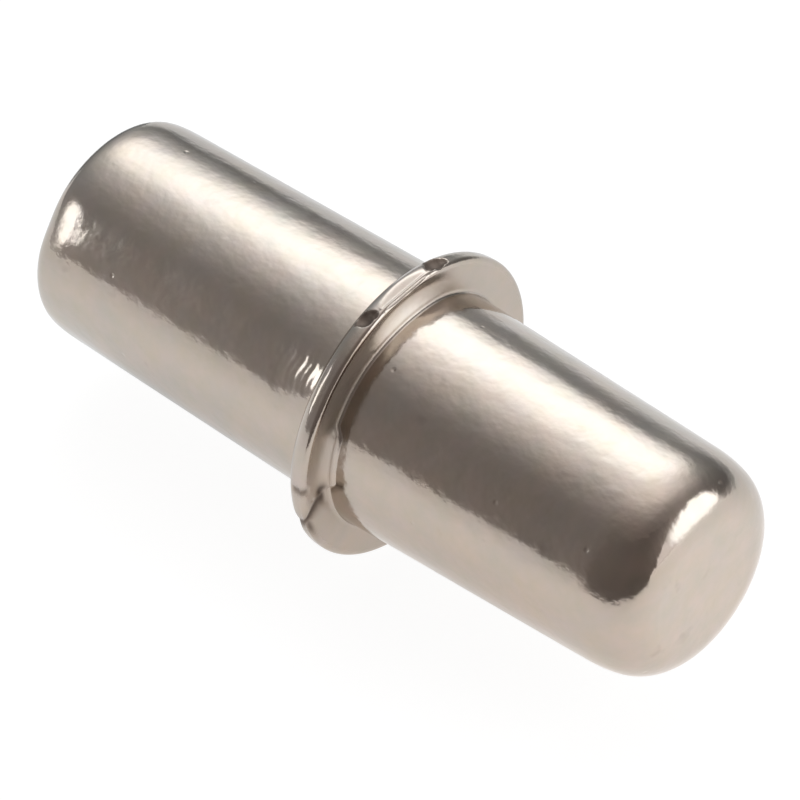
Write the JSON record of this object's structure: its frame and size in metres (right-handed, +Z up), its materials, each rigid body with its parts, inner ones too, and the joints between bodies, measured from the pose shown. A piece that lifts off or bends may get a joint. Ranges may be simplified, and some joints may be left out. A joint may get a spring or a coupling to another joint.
{
  "type": "shelf support pin",
  "caption": "Round metal shelf pin: a stub for the cabinet's hole, a thin collar that seats on the board, and a stub that carries the shelf.",
  "frame": {"origin": "on the axis of the hole stub, in the plane of the collar's seat on the cabinet's side", "axes": "+X along the pin from the hole stub to the shelf stub, out of the cabinet's side; +Z up as the pin is used, with the gate mark on the collar's rim near +Z"},
  "size_m": [0.0157, 0.0065, 0.0065],
  "materials": {
    "nickel_plate": "bright nickel plating over a zinc casting, glossy with faint waviness and small pits"
  },
  "bodies": {
    "root": {"shelf_pin": "nickel_plate"}
  },
  "joints": []
}
